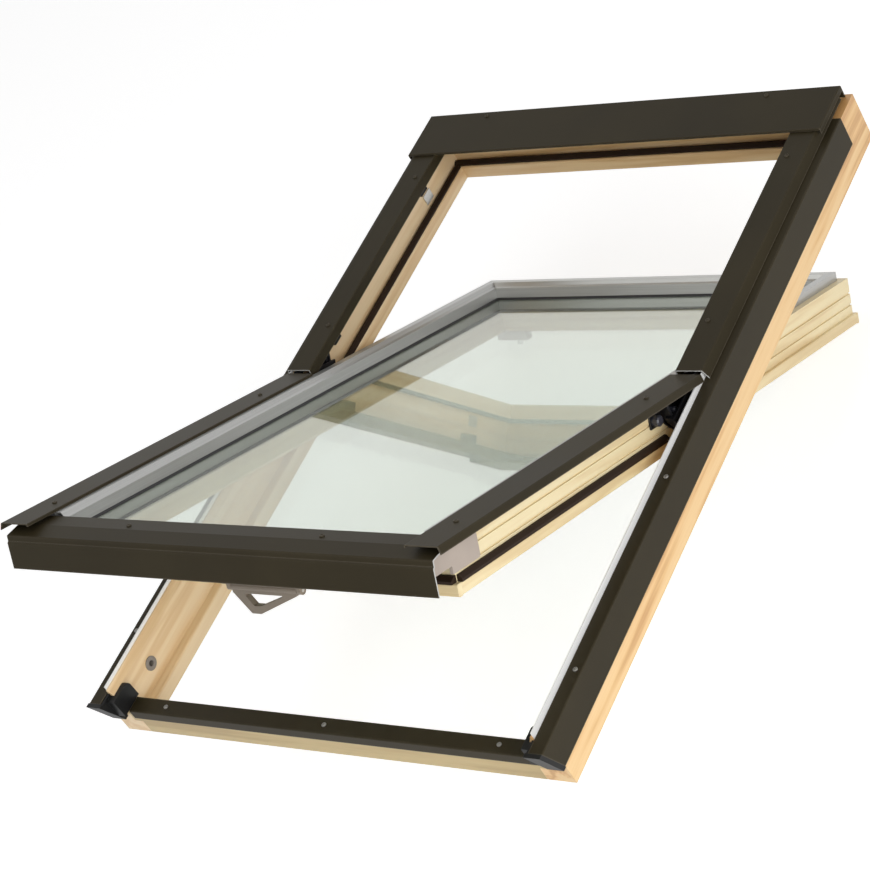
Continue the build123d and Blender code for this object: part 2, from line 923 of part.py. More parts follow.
# Glazing unit and its profiles
def ring_frame(x, low, high, width, z0, z1):
    return block(-x, x, low, high, z0, z1) - block(-x + width, x - width, low + width, high - width, z0, z1)


sash_nodes["outer_pane"] = block(
    -glass_x,
    glass_x,
    -glass_low_y,
    glass_top_y,
    -glass_face - pane,
    -glass_face,
)
sash_nodes["inner_pane"] = block(
    -glass_x,
    glass_x,
    -glass_low_y,
    glass_top_y,
    glass_back_z,
    glass_back_z + pane,
)
sash_nodes["spacer_bars"] = ring_frame(
    glass_x - spacer_inset,
    -glass_low_y + spacer_inset,
    glass_top_y - spacer_inset,
    spacer_width,
    glass_back_z + pane,
    -glass_face - pane,
)
tape_x = glass_x
sash_nodes["glazing_tape"] = block(
    -tape_x,
    tape_x,
    glass_top_y - tape_width,
    glass_top_y,
    -rebate_drop,
    glass_back_z,
)
for side in (-1, 1):
    edge = side * tape_x
    inner = side * (tape_x - tape_width)
    sash_nodes["glazing_tape"] += block(
        min(edge, inner), max(edge, inner), body_low_y, glass_top_y, -rebate_drop, glass_back_z
    )

trim_out_x = sash_x - trim_outer_step
trim_out_y = body_high_y - trim_outer_step


def trim_points(outer):
    flat = outer - trim_flat
    step = flat - trim_step_run
    ledge = step - trim_ledge
    fall = glass_face + trim_top - trim_step_drop - trim_ledge_drop
    lift = trim_wall * trim_run_in / math.hypot(trim_run_in, fall) + touch_gap
    path = [
        (outer, -sash_face),
        (outer, trim_top),
        (flat, trim_top),
        (step, trim_top - trim_step_drop),
        (ledge, trim_top - trim_step_drop - trim_ledge_drop),
        (ledge - trim_run_in, -glass_face + lift),
    ]
    return bent(path, -trim_wall)


def mitre_wedge(keep_side):
    # prism that removes what lies past the corner's diagonal
    far = frame_width
    if keep_side:
        corners = [
            (trim_out_x - far, trim_out_y - far),
            (trim_out_x + far, trim_out_y + far),
            (trim_out_x - far, trim_out_y + far),
        ]
    else:
        corners = [
            (trim_out_x - far, trim_out_y - far),
            (trim_out_x + far, trim_out_y + far),
            (trim_out_x + far, trim_out_y - far),
        ]
    plane = Plane((0, 0, -sash_back))
    return extrude(plane * outline(corners), amount=sash_back * 2, dir=(0, 0, 1))


side_trim = along_y(trim_points(trim_out_x), -trim_low_y, trim_out_y) - mitre_wedge(True)
pair(sash_nodes, "glazing_profile", side_trim)
top_trim = along_x(trim_points(trim_out_y), -trim_out_x, trim_out_x)
right_wedge = mitre_wedge(False)
sash_nodes["top_glazing_profile"] = top_trim - right_wedge - flipped(right_wedge)


# Sash claddings
def sash_cladding():
    path = [
        (sash_clad_foot_x, sash_clad_foot_z),
        (sash_clad_bevel_x, sash_clad_front),
        (sash_clad_inner_x, sash_clad_front),
        (sash_clad_inner_x, trim_top),
    ]
    shell = along_y(bent(path, -sheet, bend), -sash_clad_low_y, sash_clad_high_y)
    for y in (-sash_clip_high_y, -sash_clip_low_y):
        shell -= screw_hole(sash_screw_x, y, sash_clad_front)
    return shell


def sash_clips():
    # blocks on the stile that carry the sash cladding
    out = []
    for y in (-sash_clip_high_y, -sash_clip_low_y):
        clip = block(
            sash_x - sash_clip_seat,
            sash_x + sash_clip_reach,
            y - clip_length / 2,
            y + clip_length / 2,
            -sash_face,
            sash_clad_front - sheet,
        )
        out.append(clip - screw_hole(sash_screw_x, y, sash_clad_front))
    return out


def bottom_cover():
    path = [
        (-bottom_in_y, bottom_in_z - bottom_in_fold),
        (-bottom_in_y, bottom_in_z),
        (-bottom_mid_y, bottom_mid_z),
        (-bottom_fold_y, -bottom_fold_z),
        (-bottom_fold_y, -bottom_step_z),
        (-bottom_fold_y - bottom_step, -bottom_step_z - bottom_step),
        (-bottom_fold_y - bottom_step, -bottom_edge_z),
    ]
    shell = along_x(bent(path, -sheet, bend), -bottom_half, bottom_half)
    for x in (-bottom_screw_x, bottom_screw_x):
        shell -= screw_hole(x, -bottom_screw_y, bottom_screw_z, bottom_tilt)
    return shell


bottom_tilt = math.degrees(math.atan2(bottom_in_z - bottom_mid_z, bottom_mid_y - bottom_in_y))
bottom_screw_z = bottom_mid_z + (bottom_mid_y - bottom_screw_y) * math.tan(math.radians(bottom_tilt))
pair(sash_nodes, "sash_cladding", sash_cladding())
clips = sash_clips()
sash_nodes["sash_clips"] = clips + [flipped(clip) for clip in clips]
sash_nodes["bottom_cover"] = bottom_cover()

# Folded beam under the glass edge that carries the bottom cover
beam_out_y = bottom_mid_y - beam_margin
beam_top = bottom_mid_z - sheet - beam_gap
beam_path = [
    (-beam_out_y + beam_flange, beam_top),
    (-beam_out_y, beam_top),
    (-beam_out_y, -beam_floor_z),
    (-beam_step_y, -beam_floor_z),
    (-beam_step_y, glass_back_z - beam_wall),
    (-beam_tail_y, glass_back_z - beam_wall),
]
beam = along_x(bent(beam_path, -beam_wall), -tape_x + tape_width, tape_x - tape_width)
for x in (-bottom_screw_x, bottom_screw_x):
    beam -= screw_hole(x, -bottom_screw_y, bottom_screw_z, bottom_tilt)
sash_nodes["bottom_profile"] = beam

end_points = [
    (-end_out_y, -beam_floor_z, end_round),
    (-end_out_y, -end_top_z, end_round),
    (-end_in_y, -end_top_z, end_round),
    (-end_in_y, -end_low_z, end_round),
    (-end_step_y, -end_low_z),
    (-end_step_y, -beam_floor_z),
]
pair(sash_nodes, "end_piece", along_x(end_points, sash_x, sash_x + end_piece))


def sash_seal():
    points = [
        (sash_x, lip_top_z),
        (sash_x, lip_top_z + sash_seal_height),
        (sash_x + sash_seal_nose, lip_top_z + sash_seal_height),
        (sash_x + sash_seal_reach, lip_top_z + sash_seal_nose),
        (sash_x + sash_seal_reach, lip_top_z),
    ]
    return along_y(points, -sash_seal_low_y, -sash_seal_high_y)


pair(sash_nodes, "sash_gasket", sash_seal())
low_seal = [
    (body_low_y, lip_top_z),
    (body_low_y, lip_top_z + sash_seal_height),
    (body_low_y - sash_seal_nose, lip_top_z + sash_seal_height),
    (body_low_y - bottom_seal_reach, lip_top_z + sash_seal_nose),
    (body_low_y - bottom_seal_reach, lip_top_z),
]
sash_nodes["bottom_sash_gasket"] = along_x(low_seal, -sash_x, sash_x)

# Handle: base with lugs, pin and folding loop
axis_z = -sash_back - handle_base_thick - handle_axis_drop
base_top = -sash_back
base_low = base_top - handle_base_thick
lug_left = -handle_left - handle_lug_gap
lug_right = handle_right + handle_lug_gap
base = block(
    lug_left - handle_lug,
    lug_right + handle_lug,
    -handle_y - handle_base_width / 2,
    -handle_y + handle_base_width / 2,
    base_low,
    base_top,
)
for x0, x1 in ((lug_left - handle_lug, lug_left), (lug_right, lug_right + handle_lug)):
    lug = rod_x(-handle_y, axis_z, handle_barrel, x0, x1)
    lug += block(x0, x1, -handle_y - handle_barrel / 2, -handle_y + handle_barrel / 2, axis_z, base_low)
    base += lug
pin_bore = handle_pin_size + handle_pin_play * 2
base -= rod_x(-handle_y, axis_z, pin_bore, lug_left - handle_lug, lug_right + handle_lug)
sash_nodes["handle_base"] = base
sash_nodes["handle_pin"] = rod_x(
    -handle_y,
    axis_z,
    handle_pin_size,
    lug_left - handle_lug,
    lug_right + handle_lug,
)
loop_outer = [
    (-handle_left, axis_z),
    (-handle_left, axis_z - handle_end_reach),
    (-handle_tip_left, axis_z - handle_reach, edge_round),
    (handle_tip_right, axis_z - handle_reach, edge_round),
    (handle_right, axis_z - handle_end_reach, edge_round),
    (handle_right, axis_z),
]
loop_slot = [
    (-slot_left, axis_z - slot_top, edge_round),
    (-slot_tip_left, axis_z - slot_reach, edge_round),
    (slot_tip_right, axis_z - slot_reach, edge_round),
    (slot_right, axis_z - slot_end_reach),
    (slot_right, axis_z - slot_top),
]
loop_low = -handle_y - handle_thick / 2
loop = along_y(loop_outer, loop_low, loop_low + handle_thick)
loop -= along_y(loop_slot, loop_low - edge_round, loop_low + handle_thick + edge_round)
loop += rod_x(-handle_y, axis_z, handle_barrel, -handle_left, handle_right)
loop -= rod_x(-handle_y, axis_z, pin_bore, -handle_left, handle_right)
sash_nodes["handle_loop"] = loop

# Cleaning bolt and its guide on the top rail
guide_out = -bolt_tip_x + guide_inset
guide_end = guide_out + guide_length
guide = block(
    guide_out,
    guide_end,
    bolt_y - guide_width / 2 - guide_inset,
    bolt_y + guide_inset,
    -bolt_z - guide_back,
    -sash_back,
)
bore = bolt_rod + bolt_play * 2
guide -= rod_x(bolt_y, -bolt_z, bore, guide_out, guide_end)
knob_x = -bolt_tip_x + bolt_knob_inset
slot_half = bolt_knob / 2 + guide_slot_play
guide -= block(
    knob_x - bolt_travel - slot_half,
    knob_x + slot_half,
    bolt_y - slot_half,
    bolt_y + slot_half,
    -bolt_z - guide_back,
    -bolt_z,
)
sash_nodes["bolt_guide"] = guide
bolt = rod_x(bolt_y, -bolt_z, bolt_rod, -bolt_tip_x, -bolt_tip_x + bolt_length)
bolt = chamfer(bolt.edges().sort_by(Axis.X)[0], bolt_rod / 8)
bolt += rod_z(knob_x, bolt_y, bolt_knob, -bolt_z - guide_back - bolt_knob_height, -bolt_z)
sash_nodes["barrel_bolt"] = bolt

# Screws in groups
hood_screw_y = half_l - hood_screw_short
side_screw_x = half_w - side_screw_s
sill_screw_y = (sill_in_y - half_l) / 2
cover_ys = (cover_clip_low_y, cover_clip_high_y)
side_ys = (-side_screw_low_y, -side_screw_high_y)
sash_ys = (-sash_clip_high_y, -sash_clip_low_y)
frame_nodes["hood_screws"] = [screw(x, hood_screw_y, hood_front) for x in (-hood_screw_x, hood_screw_x)]
frame_nodes["cover_screws"] = [
    screw(x, y, cover_front) for x in (-cover_screw_x, cover_screw_x) for y in cover_ys
]
frame_nodes["side_cladding_screws"] = [
    screw(x, y, 0) for x in (-side_screw_x, side_screw_x) for y in side_ys
]
frame_nodes["sill_screws"] = [
    screw(x, sill_screw_y, -sill_top_drop) for x in (-sill_screw_x, 0, sill_screw_x)
]
sash_nodes["sash_cladding_screws"] = [
    screw(x, y, sash_clad_front) for x in (-sash_screw_x, sash_screw_x) for y in sash_ys
]
sash_nodes["bottom_cover_screws"] = [
    screw(x, -bottom_screw_y, bottom_screw_z, bottom_tilt) for x in (-bottom_screw_x, bottom_screw_x)
]

# Sash turned to its open rest position, then everything set on the origin
shift = Pos(0, half_l - sill_thick / 2, frame_depth)
pivot = Axis((0, pivot_y, pivot_z), (1, 0, 0))


def placed(solid, turn):
    if turn:
        solid = solid.rotate(pivot, -turn)
    return shift * solid


for store, turn in ((frame_nodes, 0), (sash_nodes, open_angle)):
    for name, made in store.items():
        if isinstance(made, list):
            whole = Compound(children=[placed(solid, turn) for solid in made])
        else:
            whole = placed(made, turn)
        export_step(whole, f"parts/{name}.step")
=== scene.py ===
import math

import bmesh
import bpy
from mathutils import Matrix, Vector


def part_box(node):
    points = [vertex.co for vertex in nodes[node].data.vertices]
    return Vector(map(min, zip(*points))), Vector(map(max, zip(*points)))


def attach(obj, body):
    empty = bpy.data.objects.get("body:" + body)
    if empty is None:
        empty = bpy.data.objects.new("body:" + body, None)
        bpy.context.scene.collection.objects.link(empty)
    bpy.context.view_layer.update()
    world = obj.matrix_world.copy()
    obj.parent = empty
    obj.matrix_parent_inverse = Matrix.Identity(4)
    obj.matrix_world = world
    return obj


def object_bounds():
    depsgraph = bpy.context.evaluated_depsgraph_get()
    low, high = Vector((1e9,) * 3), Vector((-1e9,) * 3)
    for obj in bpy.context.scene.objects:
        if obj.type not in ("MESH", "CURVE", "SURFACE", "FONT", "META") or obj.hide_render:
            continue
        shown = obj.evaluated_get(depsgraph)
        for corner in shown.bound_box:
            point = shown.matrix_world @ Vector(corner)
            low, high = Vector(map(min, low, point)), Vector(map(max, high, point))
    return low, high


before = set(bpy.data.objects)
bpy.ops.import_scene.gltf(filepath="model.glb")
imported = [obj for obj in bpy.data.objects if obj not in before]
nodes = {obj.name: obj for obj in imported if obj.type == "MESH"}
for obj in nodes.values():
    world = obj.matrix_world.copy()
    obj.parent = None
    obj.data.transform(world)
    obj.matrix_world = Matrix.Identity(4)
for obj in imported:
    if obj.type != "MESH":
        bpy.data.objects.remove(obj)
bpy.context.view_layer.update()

scene = bpy.context.scene

# The sash's pivot in metres, and how far it stands open at rest
PIVOT = (0, 0.5912, 0.107)
OPEN = math.radians(29.0)

# Dark, middle and light tone of the pine on each part. The left jamb's tones are a lightened copy, painted
# light where that jamb lies in shade; the sill's tones are a darkened copy, painted shade; the right jamb's
# are a deeper orange with stronger grain.
PINE = [(0.66, 0.40, 0.17), (0.79, 0.53, 0.27), (0.85, 0.61, 0.34)]
LEFT_PAINTED_LIGHT = [(0.74, 0.50, 0.26), (0.84, 0.62, 0.36), (0.88, 0.68, 0.43)]
RIGHT = [(0.57, 0.29, 0.10), (0.77, 0.48, 0.20), (0.86, 0.60, 0.30)]
SHADED = [(0.42, 0.29, 0.11), (0.51, 0.37, 0.15), (0.57, 0.43, 0.19)]
PALE = [(0.70, 0.53, 0.27), (0.81, 0.66, 0.38), (0.86, 0.74, 0.46)]

# Powder coat, its lighter folds (partly rubbed wear, partly a painted highlight along the bends) and the
# bare metal of its cut ends
DARK = (0.0305, 0.0240, 0.0120)
COAT_WEAR_AND_HIGHLIGHT = (0.14, 0.12, 0.09)
BARE_METAL = (0.55, 0.55, 0.53)
COAT_ROUGH = 0.42
COAT_SHINE = 0.1
CUT_DEPTH = 0.0004

# Edge wear and painted edge highlight: cosines at which it is full and gone, and how far noise breaks it up
WEAR_AND_HIGHLIGHT_FULL = 0.88
WEAR_AND_HIGHLIGHT_GONE = 0.99
WEAR_AND_HIGHLIGHT_LEAST = 0.25
WEAR_AND_HIGHLIGHT_MOST = 0.85
BEVEL_SAMPLES = 6

# Pine: noise stretch across and along the grain, and rings in one swing of the noise
RING_ACROSS = 14
RING_ALONG = 0.9
RING_SWING = 26.0
FIBRE_ACROSS = 260
FIBRE_ALONG = 6
FIBRE_SHARE = 0.35

# Drawn aluminium: noise stretch across and along the lines
LINE_ACROSS = 900
LINE_ALONG = 3

# A Principled shader's own specular level
PLAIN_SHINE = 0.5

# Glazing bead: width and height in metres, and its section in parts of them
BEAD_WIDE = 0.0042
BEAD_HIGH = 0.0030
BEAD_SECTION = [(0.0, 0.0), (0.0, 1.0), (0.25, 1.0), (0.5, 0.86), (0.75, 0.55), (0.93, 0.2), (1.0, 0.0)]

# Floor and light
FLOOR_REACH = 30.0
FLOOR_GAP = 0.002
FLOOR_GREY = 0.86
FLOOR_ROUGH = 0.9
FLOOR_GLOW = 0.5
SKY_LIGHT = 0.4
SKY_WHITE = 1.0
LIT_POINT = (0.0, 0.58, 0.05)

# Camera fitted to the photograph, whose width and focal length are in pixels
SENSOR = 36.0
FOCAL_PIXELS = 2491.38
PHOTO_WIDTH = 870.0
CAMERA_PLACE = (2.13214, -1.38099, 2.27880)
CAMERA_RIGHT = (0.79814, 0.40644, -0.44473)
CAMERA_UP = (-0.01687, 0.75297, 0.65785)
CAMERA_BACK = (0.60224, -0.51754, 0.60782)
VIEW_END = 100.0


# Node helpers
def new_material(name):
    mat = bpy.data.materials.new(name)
    mat.use_nodes = True
    tree = mat.node_tree
    return mat, tree, tree.nodes["Principled BSDF"]


def add(tree, kind, **values):
    node = tree.nodes.new(kind)
    for key, value in values.items():
        if key in node.inputs:
            node.inputs[key].default_value = value
        else:
            setattr(node, key, value)
    return node


def noise(tree, vector, scale, detail=3.0, rough=0.5):
    node = add(tree, "ShaderNodeTexNoise", Scale=scale, Detail=detail, Roughness=rough)
    tree.links.new(vector, node.inputs["Vector"])
    return node.outputs["Fac"]


def ramp(tree, fac, stops):
    node = add(tree, "ShaderNodeValToRGB")
    points = node.color_ramp.elements
    while len(points) < len(stops):
        points.new(0.5)
    for point, (place, colour) in zip(points, stops):
        point.position = place
        point.color = (*colour, 1.0)
    tree.links.new(fac, node.inputs["Fac"])
    return node.outputs["Color"]


def span(tree, fac, low, high, start=0.0, end=1.0):
    node = add(tree, "ShaderNodeMapRange")
    node.inputs["From Min"].default_value = start
    node.inputs["From Max"].default_value = end
    node.inputs["To Min"].default_value = low
    node.inputs["To Max"].default_value = high
    tree.links.new(fac, node.inputs["Value"])
    return node.outputs["Result"]


def math_node(tree, operation, first, second):
    node = add(tree, "ShaderNodeMath", operation=operation)
    for socket, value in zip(node.inputs, (first, second)):
        if isinstance(value, bpy.types.NodeSocket):
            tree.links.new(value, socket)
        else:
            socket.default_value = value
    return node.outputs[0]


def mixed_in(tree, colour, tone, fac):
    node = add(tree, "ShaderNodeMix", data_type="RGBA")
    node.inputs["B"].default_value = (*tone, 1.0)
    tree.links.new(fac, node.inputs["Factor"])
    tree.links.new(colour, node.inputs["A"])
    return node.outputs["Result"]


def object_vector(tree, scale=(1, 1, 1), tilt=0.0):
    coord = add(tree, "ShaderNodeTexCoord")
    turned = add(tree, "ShaderNodeMapping", vector_type="POINT", Rotation=(tilt, 0, 0))
    tree.links.new(coord.outputs["Object"], turned.inputs["Vector"])
    stretched = add(tree, "ShaderNodeMapping", vector_type="POINT", Scale=scale)
    tree.links.new(turned.outputs["Vector"], stretched.inputs["Vector"])
    return stretched.outputs["Vector"]


def stretch(along, lengthwise, crosswise):
    if along == "x":
        return (lengthwise, crosswise, crosswise)
    return (crosswise, lengthwise, crosswise)


def scaled(colour, factor, lift=0.0):
    return tuple(min(1.0, part * factor + lift) for part in colour)


def rounded_normal(tree, radius):
    return add(tree, "ShaderNodeBevel", samples=BEVEL_SAMPLES, Radius=radius).outputs["Normal"]


def bump(tree, bsdf, height, strength, distance, edge):
    node = add(tree, "ShaderNodeBump", Strength=strength, Distance=distance)
    tree.links.new(height, node.inputs["Height"])
    tree.links.new(rounded_normal(tree, edge), node.inputs["Normal"])
    tree.links.new(node.outputs["Normal"], bsdf.inputs["Normal"])


# Lighter edges, partly rubbed wear and partly a painted highlight, show where the rounded normal leaves the
# face's own normal
def wear_and_edge_highlight(tree, colour, tone, radius, breakup):
    face = add(tree, "ShaderNodeNewGeometry")
    dot = add(tree, "ShaderNodeVectorMath", operation="DOT_PRODUCT")
    tree.links.new(rounded_normal(tree, radius), dot.inputs[0])
    tree.links.new(face.outputs["Normal"], dot.inputs[1])
    mask = span(tree, dot.outputs["Value"], 1.0, 0.0, WEAR_AND_HIGHLIGHT_FULL, WEAR_AND_HIGHLIGHT_GONE)
    worn_and_lit = math_node(tree, "MULTIPLY", mask, span(tree, breakup, WEAR_AND_HIGHLIGHT_LEAST, WEAR_AND_HIGHLIGHT_MOST))
    return mixed_in(tree, colour, tone, worn_and_lit)


# Lacquered pine: long growth rings, fine fibres and a clear coat
def pine(name, along, tones, tilt, seed):
    mat, tree, bsdf = new_material(name)
    shifted = add(tree, "ShaderNodeVectorMath", operation="ADD")
    shifted.inputs[1].default_value = (seed, seed * 0.7, seed * 0.3)
    rings = object_vector(tree, stretch(along, RING_ALONG, RING_ACROSS), tilt)
    tree.links.new(rings, shifted.inputs[0])
    wobble = noise(tree, shifted.outputs["Vector"], 1.4, 4.0, 0.55)
    swing = math_node(tree, "MULTIPLY", wobble, RING_SWING)
    grain = span(tree, math_node(tree, "SINE", swing, 0.0), 0.0, 1.0, start=-1.0)
    fibre = noise(tree, object_vector(tree, stretch(along, FIBRE_ALONG, FIBRE_ACROSS), tilt), 1.0, 2.0, 0.6)
    both = add(tree, "ShaderNodeMix", data_type="FLOAT")
    both.inputs["Factor"].default_value = FIBRE_SHARE
    tree.links.new(grain, both.inputs["A"])
    tree.links.new(fibre, both.inputs["B"])
    colour = ramp(tree, both.outputs["Result"], list(zip((0.1, 0.5, 0.95), tones)))
    # Edges in the lightest tone: partly wear, partly a painted highlight
    colour = wear_and_edge_highlight(tree, colour, tones[2], 0.0015, fibre)
    tree.links.new(colour, bsdf.inputs["Base Color"])
    tree.links.new(span(tree, fibre, 0.34, 0.5), bsdf.inputs["Roughness"])
    bsdf.inputs["Coat Weight"].default_value = 0.25
    bsdf.inputs["Coat Roughness"].default_value = 0.3
    bump(tree, bsdf, fibre, 0.12, 0.0004, 0.0012)
    return mat


# Powder-coated sheet: fine orange peel, faint cloudiness, bare metal on the cut ends along an axis
def coated_sheet(name, axis="", ends=()):
    mat, tree, bsdf = new_material(name)
    cloud = noise(tree, object_vector(tree), 6.0, 4.0)
    colour = ramp(tree, cloud, [(0.3, scaled(DARK, 0.86)), (0.7, scaled(DARK, 1.14))])
    # Lighter folds and edges: partly rubbed wear, partly a painted highlight
    colour = wear_and_edge_highlight(tree, colour, COAT_WEAR_AND_HIGHLIGHT, 0.003, cloud)
    for end in ends:
        coord = add(tree, "ShaderNodeTexCoord")
        split = add(tree, "ShaderNodeSeparateXYZ")
        tree.links.new(coord.outputs["Object"], split.inputs[0])
        near = add(tree, "ShaderNodeMath", operation="COMPARE")
        near.inputs[1].default_value = end
        near.inputs[2].default_value = CUT_DEPTH
        tree.links.new(split.outputs[axis], near.inputs[0])
        colour = mixed_in(tree, colour, BARE_METAL, near.outputs[0])
    tree.links.new(colour, bsdf.inputs["Base Color"])
    tree.links.new(span(tree, cloud, COAT_ROUGH - 0.05, COAT_ROUGH + 0.06), bsdf.inputs["Roughness"])
    bsdf.inputs["Specular IOR Level"].default_value = COAT_SHINE
    peel = noise(tree, object_vector(tree), 900.0, 2.0)
    bump(tree, bsdf, peel, 0.06, 0.0003, 0.0008)
    return mat


# Extruded aluminium with drawn lines along its length
def drawn_metal(name, base, along, rough, metallic, tilt=0.0):
    mat, tree, bsdf = new_material(name)
    streak = noise(tree, object_vector(tree, stretch(along, LINE_ALONG, LINE_ACROSS), tilt), 1.0, 2.0)
    colour = ramp(tree, streak, [(0.25, scaled(base, 0.9)), (0.75, scaled(base, 1.08))])
    tree.links.new(colour, bsdf.inputs["Base Color"])
    tree.links.new(span(tree, streak, rough - 0.06, rough + 0.08), bsdf.inputs["Roughness"])
    bsdf.inputs["Metallic"].default_value = metallic
    bump(tree, bsdf, streak, 0.05, 0.0002, 0.0005)
    return mat


# Moulded plastic and rubber with a fine spark-eroded grain
def moulded(name, base, rough, grain=500.0, depth=0.1, shine=PLAIN_SHINE):
    mat, tree, bsdf = new_material(name)
    grit = noise(tree, object_vector(tree), grain, 3.0, 0.6)
    cloud = noise(tree, object_vector(tree), 9.0, 3.0)
    colour = ramp(tree, cloud, [(0.3, scaled(base, 0.88)), (0.7, scaled(base, 1.1))])
    # Lighter edges: partly wear, partly a painted highlight
    colour = wear_and_edge_highlight(tree, colour, scaled(base, 1.5, 0.01), 0.001, grit)
    tree.links.new(colour, bsdf.inputs["Base Color"])
    tree.links.new(span(tree, grit, rough - 0.08, rough + 0.08), bsdf.inputs["Roughness"])
    bsdf.inputs["Specular IOR Level"].default_value = shine
    bump(tree, bsdf, grit, depth, 0.0003, 0.0008)
    return mat


# Plated steel with a mottled finish
def plated(name, base, rough):
    mat, tree, bsdf = new_material(name)
    spangle = noise(tree, object_vector(tree), 180.0, 4.0)
    colour = ramp(tree, spangle, [(0.3, scaled(base, 0.82)), (0.7, base)])
    tree.links.new(colour, bsdf.inputs["Base Color"])
    tree.links.new(span(tree, spangle, rough - 0.06, rough + 0.1), bsdf.inputs["Roughness"])
    bsdf.inputs["Metallic"].default_value = 0.9
    bump(tree, bsdf, spangle, 0.04, 0.0002, 0.0004)
    return mat


# Float glass: a green-grey tint and faint smears, with the index that sets its reflections
def float_glass(name, tint, index):
    mat, tree, bsdf = new_material(name)
    smear = noise(tree, object_vector(tree), 3.0, 2.0)
    tree.links.new(span(tree, smear, 0.0, 0.02), bsdf.inputs["Roughness"])
    bsdf.inputs["Base Color"].default_value = (*tint, 1.0)
    bsdf.inputs["Transmission Weight"].default_value = 1.0
    bsdf.inputs["IOR"].default_value = index
    return mat


# A material for every CAD node
looks = {}


def dress(mat, *names):
    for name in names:
        looks[name] = mat


def pair(name):
    return "left_" + name, "right_" + name


# The left jamb carries lightened tones as painted light, and the sill darkened tones as painted shade
timbers = (
    ("left_jamb", "y", LEFT_PAINTED_LIGHT, 0.0),
    ("right_jamb", "y", RIGHT, 0.0),
    ("head", "x", PINE, 0.0),
    ("sill", "x", SHADED, 0.0),
    ("left_stile", "y", PALE, OPEN),
    ("right_stile", "y", PALE, OPEN),
    ("top_rail", "x", PALE, OPEN),
    ("bottom_rail", "x", PALE, OPEN),
)
for place, (name, along, tones, tilt) in enumerate(timbers):
    dress(pine("pine_" + name, along, tones, tilt, 1.0 + 4.0 * place), name)

coat = coated_sheet("powder_coat_dark")
dress(coat, *pair("side_cladding"), *pair("sash_cladding"), "hood", "sill_cladding")
dress(coat, "hood_screws", "cover_screws", "sash_cladding_screws", "bottom_cover_screws")
low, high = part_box("bottom_cover")
dress(coated_sheet("powder_coat_bottom_cover", "X", (low[0], high[0])), "bottom_cover")
for name in pair("upper_cover"):
    low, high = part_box(name)
    dress(coated_sheet("powder_coat_" + name, "Y", (low[1],)), name)

dress(drawn_metal("mill_aluminium", (0.92, 0.92, 0.91), "y", 0.34, 0.1), *pair("drain_rail"))
# The side profiles are a shade darker and the cross profiles a shade lighter: painted shade and painted
# light on one grey aluminium
grey_long_shaded = drawn_metal("grey_profile_long_shaded", (0.44, 0.44, 0.43), "y", 0.32, 0.7, OPEN)
dress(grey_long_shaded, *pair("glazing_profile"))
grey_cross_lit = drawn_metal("grey_profile_cross_lit", (0.47, 0.47, 0.45), "x", 0.32, 0.7, OPEN)
dress(grey_cross_lit, "top_glazing_profile", "bottom_profile")
dress(drawn_metal("spacer_aluminium", (0.5, 0.5, 0.48), "x", 0.4, 0.8, OPEN), "spacer_bars")

black = moulded("black_plastic_grain", (0.006, 0.006, 0.006), 0.5, shine=0.25)
dress(black, *pair("corner_cap"), "cover_clips", "sash_clips")
dress(moulded("knob_plastic", (0.030, 0.031, 0.042), 0.3, depth=0.05), "hinge_knobs")
dress(moulded("taupe_plastic_grain", (0.40, 0.335, 0.285), 0.48), *pair("end_piece"), "bolt_guide")
dress(moulded("handle_grain", (0.23, 0.19, 0.145), 0.45), "handle_base", "handle_loop")
dress(moulded("grey_bush_plastic", (0.24, 0.21, 0.18), 0.5), "cleaning_bush")

rubber = moulded("brown_rubber", (0.022, 0.011, 0.005), 0.62, 700.0, 0.15, 0.2)
dress(rubber, *pair("frame_gasket"), "head_gasket")
dress(rubber, *pair("sash_gasket"), "bottom_sash_gasket", "glazing_tape")
rubber_black = moulded("black_rubber", (0.014, 0.014, 0.014), 0.55, 700.0, 0.12)

hinge = plated("black_hinge_steel", (0.05, 0.05, 0.055), 0.38)
dress(hinge, *pair("hinge_frame_half"), *pair("hinge_sash_half"))
zinc = plated("zinc_plate", (0.62, 0.62, 0.60), 0.34)
dress(zinc, "keeper_plate", "strike_plate", "handle_pin", "latch_bolt", "barrel_bolt")
dress(plated("screw_steel", (0.34, 0.33, 0.31), 0.4), "side_cladding_screws", "sill_screws")

dress(float_glass("outer_glass", (0.80, 0.85, 0.80), 1.45), "outer_pane")
dress(float_glass("inner_glass", (0.90, 0.93, 0.90), 1.25), "inner_pane")

for name, obj in nodes.items():
    obj.data.materials.clear()
    obj.data.materials.append(looks[name])

# Rubber glazing bead along the foot of the three glazing profiles, laid out on the closed sash
at_pivot = Matrix.Translation(PIVOT)
shut = at_pivot @ Matrix.Rotation(OPEN, 4, "X") @ at_pivot.inverted()
opened = shut.inverted()


def shut_points(name):
    return [shut @ vertex.co for vertex in nodes[name].data.vertices]


glass_top = max(point.z for point in shut_points("outer_pane"))
edge_x = min(point.x for point in shut_points("right_glazing_profile"))
edge_y = min(point.y for point in shut_points("top_glazing_profile"))
start_y = min(point.y for point in shut_points("right_glazing_profile"))
verts = []
for across, rise in BEAD_SECTION:
    inset = across * BEAD_WIDE
    side_x = edge_x - inset
    top_y = edge_y - inset
    z = glass_top + rise * BEAD_HIGH
    for x, y in ((-side_x, start_y), (-side_x, top_y), (side_x, top_y), (side_x, start_y)):
        verts.append(opened @ Vector((x, y, z)))
count = len(BEAD_SECTION)
stops = 4
faces = []
for i in range(count):
    here = i * stops
    beside = (i + 1) % count * stops
    for k in range(stops - 1):
        faces.append((here + k, here + k + 1, beside + k + 1, beside + k))
faces.append(tuple(i * stops for i in range(count)))
faces.append(tuple(i * stops + stops - 1 for i in reversed(range(count))))
mesh = bpy.data.meshes.new("glazing_bead")
mesh.from_pydata(verts, [], faces)
mesh.validate()
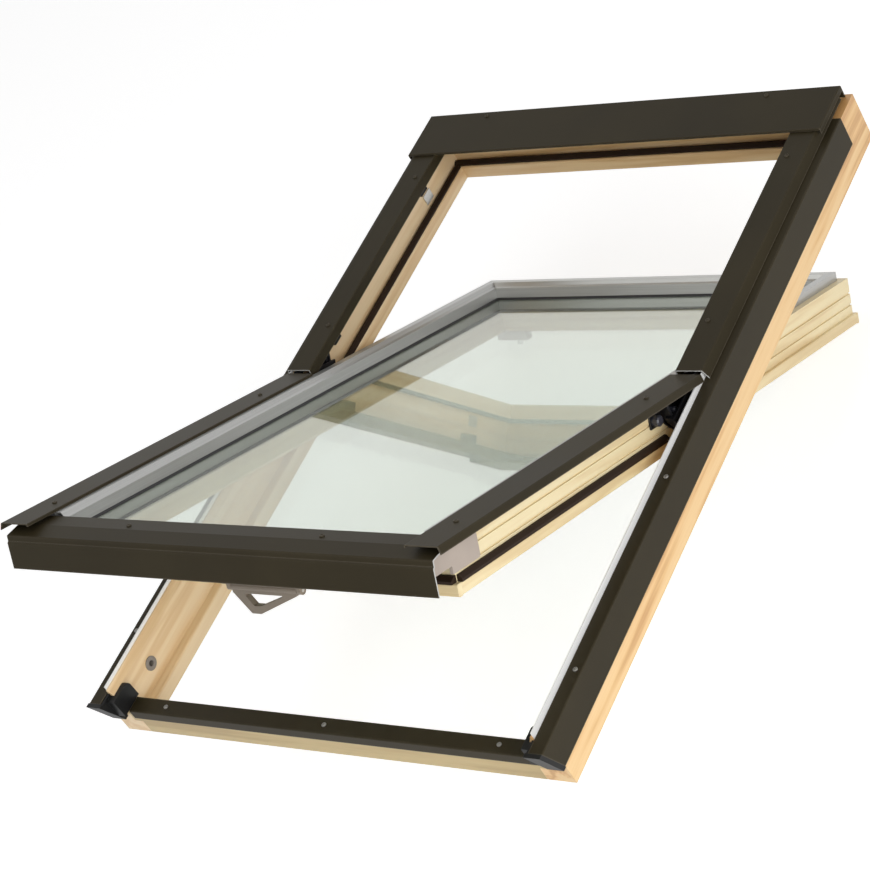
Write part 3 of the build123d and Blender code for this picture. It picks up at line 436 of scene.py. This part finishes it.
form = bmesh.new()
form.from_mesh(mesh)
bmesh.ops.recalc_face_normals(form, faces=form.faces)
form.to_mesh(mesh)
form.free()
bead = bpy.data.objects.new("glazing_bead", mesh)
mesh.materials.append(rubber_black)
scene.collection.objects.link(bead)
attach(bead, "sash")


# 1 for the rays that show the background, 0 for those that carry light
def background_rays(tree):
    path = add(tree, "ShaderNodeLightPath")
    seen = path.outputs["Is Camera Ray"]
    for kind in ("Is Glossy Ray", "Is Transmission Ray"):
        seen = math_node(tree, "MAXIMUM", seen, path.outputs[kind])
    return seen


# Floor under the lowest corner of the open sash
low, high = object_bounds()
floor_z = low[2] - FLOOR_GAP
corners = [(-1, -1), (1, -1), (1, 1), (-1, 1)]
mesh = bpy.data.meshes.new("floor")
mesh.from_pydata([(x * FLOOR_REACH, y * FLOOR_REACH, floor_z) for x, y in corners], [], [(0, 1, 2, 3)])
floor = bpy.data.objects.new("floor", mesh)
scene.collection.objects.link(floor)
paper, tree, bsdf = new_material("floor_paper")
bsdf.inputs["Base Color"].default_value = (FLOOR_GREY, FLOOR_GREY, FLOOR_GREY, 1.0)
bsdf.inputs["Roughness"].default_value = FLOOR_ROUGH
bsdf.inputs["Emission Color"].default_value = (1, 1, 1, 1)
glow = span(tree, background_rays(tree), 0.0, FLOOR_GLOW)
tree.links.new(glow, bsdf.inputs["Emission Strength"])
mesh.materials.append(paper)


# Soft studio light
def softbox(name, place, size, power):
    data = bpy.data.lights.new(name, "AREA")
    data.shape = "SQUARE"
    data.size = size
    data.energy = power
    lamp = bpy.data.objects.new(name, data)
    lamp.location = place
    lamp.rotation_euler = (Vector(LIT_POINT) - Vector(place)).to_track_quat("-Z", "Y").to_euler()
    scene.collection.objects.link(lamp)


softbox("key", (3.4, -0.6, 1.6), 2.6, 72.0)
softbox("top", (-0.6, -0.3, 3.4), 3.0, 25.0)
softbox("front", (1.9, -2.6, 0.5), 2.6, 34.0)

world = bpy.data.worlds.new("studio")
scene.world = world
world.use_nodes = True
sky = world.node_tree
back = sky.nodes["Background"]
back.inputs["Color"].default_value = (1, 1, 1, 1)
sky.links.new(span(sky, background_rays(sky), SKY_LIGHT, SKY_WHITE), back.inputs["Strength"])

# Camera at the photograph's place
data = bpy.data.cameras.new("camera")
data.sensor_width = SENSOR
data.lens = SENSOR * FOCAL_PIXELS / PHOTO_WIDTH
data.clip_end = VIEW_END
camera = bpy.data.objects.new("camera", data)
turn = Matrix((CAMERA_RIGHT, CAMERA_UP, CAMERA_BACK)).transposed().to_4x4()
camera.matrix_world = Matrix.Translation(CAMERA_PLACE) @ turn
scene.collection.objects.link(camera)
scene.camera = camera

scene.view_settings.view_transform = "Standard"
